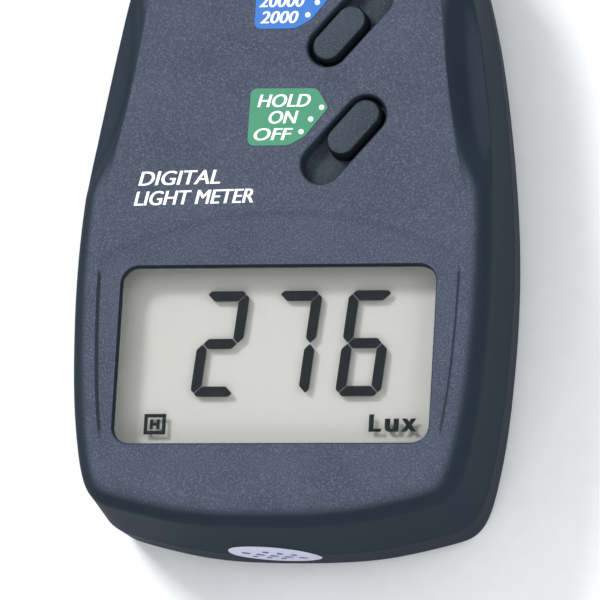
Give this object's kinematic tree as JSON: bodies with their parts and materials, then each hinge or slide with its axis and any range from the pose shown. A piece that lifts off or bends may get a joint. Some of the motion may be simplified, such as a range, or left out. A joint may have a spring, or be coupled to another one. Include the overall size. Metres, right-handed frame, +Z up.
{
  "type": "handheld light meter",
  "caption": "Handheld light meter in a waisted two-part case, with a display window, two slanted slide switches, thumb scoops, a diffuser sensor and a battery door.",
  "frame": {"origin": "under the middle of the case, on the surface that the case rests on", "axes": "+X to the reader's right, +Y along the case from the display end to the sensor end, +Z up out of the face"},
  "size_m": [0.0698, 0.1162, 0.0313],
  "materials": {
    "case_front": "fine spark texture",
    "case_back": "fine spark texture",
    "clear_lens": "polished clear acrylic",
    "black_foam": "closed-cell foam",
    "display_glass": "polished",
    "display_reflector": "satin foil",
    "contact_rubber": "layered silicone",
    "black_plastic": "moulded",
    "circuit_board": "solder resist over glass fibre",
    "knob_plastic": "fine texture, rubbed smooth on top",
    "gilt_contact": "gold flash",
    "plated_steel": "nickel plated",
    "green_print": "satin printed film",
    "blue_print": "satin printed film",
    "white_diffuser": "milky diffusing acrylic",
    "green_filter": "coloured glass",
    "photodiode_face": "epoxy over silicon",
    "battery_jacket": "lacquered steel jacket",
    "black_vinyl": "soft vinyl",
    "red_vinyl": "wire insulation",
    "chip_resin": "moulded epoxy",
    "trimmer_blue": "moulded",
    "capacitor_sleeve": "shrink sleeve",
    "film_orange": "dipped",
    "resistor_tan": "lacquered",
    "foil_label": "satin foil",
    "seal_paper": "coated paper"
  },
  "bodies": {
    "case": {"front_shell": "case_front", "back_shell": "case_back", "display_window": "clear_lens", "window_gasket": "black_foam", "lcd_front_glass": "display_glass", "lcd_rear_glass": "display_glass", "lcd_reflector": "display_reflector", "zebra_strip_upper": "contact_rubber", "zebra_strip_lower": "contact_rubber", "lcd_frame": "black_plastic", "main_board": "circuit_board", "power_switch_frame": "plated_steel", "range_switch_frame": "plated_steel", "power_label": "green_print", "range_label": "blue_print", "sensor_bezel": "black_plastic", "sensor_dome": "white_diffuser", "sensor_filter": "green_filter", "photodiode": "photodiode_face", "sensor_cup": "black_plastic", "battery": "battery_jacket", "battery_terminals": "plated_steel", "battery_snap": "black_vinyl", "battery_lead_red": "red_vinyl", "battery_lead_black": "black_vinyl", "case_screws": "plated_steel", "board_screws": "plated_steel", "converter_chip": "chip_resin", "amplifier_chip": "chip_resin", "trimmers": "trimmer_blue", "electrolytic_capacitors": "capacitor_sleeve", "film_capacitors": "film_orange", "resistors": "resistor_tan", "rear_label": "foil_label", "seal_sticker": "seal_paper"},
    "power_switch": {"power_knob": "knob_plastic", "power_slider": "black_plastic", "power_wiper": "gilt_contact"},
    "range_switch": {"range_knob": "knob_plastic", "range_slider": "black_plastic", "range_wiper": "gilt_contact"},
    "door": {"battery_door": "case_back"}
  },
  "joints": [
    {"name": "power_slide", "type": "slide", "parent": "case", "child": "power_switch", "axis": [0.6428, 0.766, 0], "range_m": [-0.005, 0]},
    {"name": "range_slide", "type": "slide", "parent": "case", "child": "range_switch", "axis": [0.6428, 0.766, 0], "range_m": [0, 0.005]},
    {"name": "door_hinge", "type": "hinge", "parent": "case", "child": "door", "pos_m": [0, -0.0166, 0.00005], "axis": [1, 0, 0], "range_deg": [0, 70]}
  ]
}
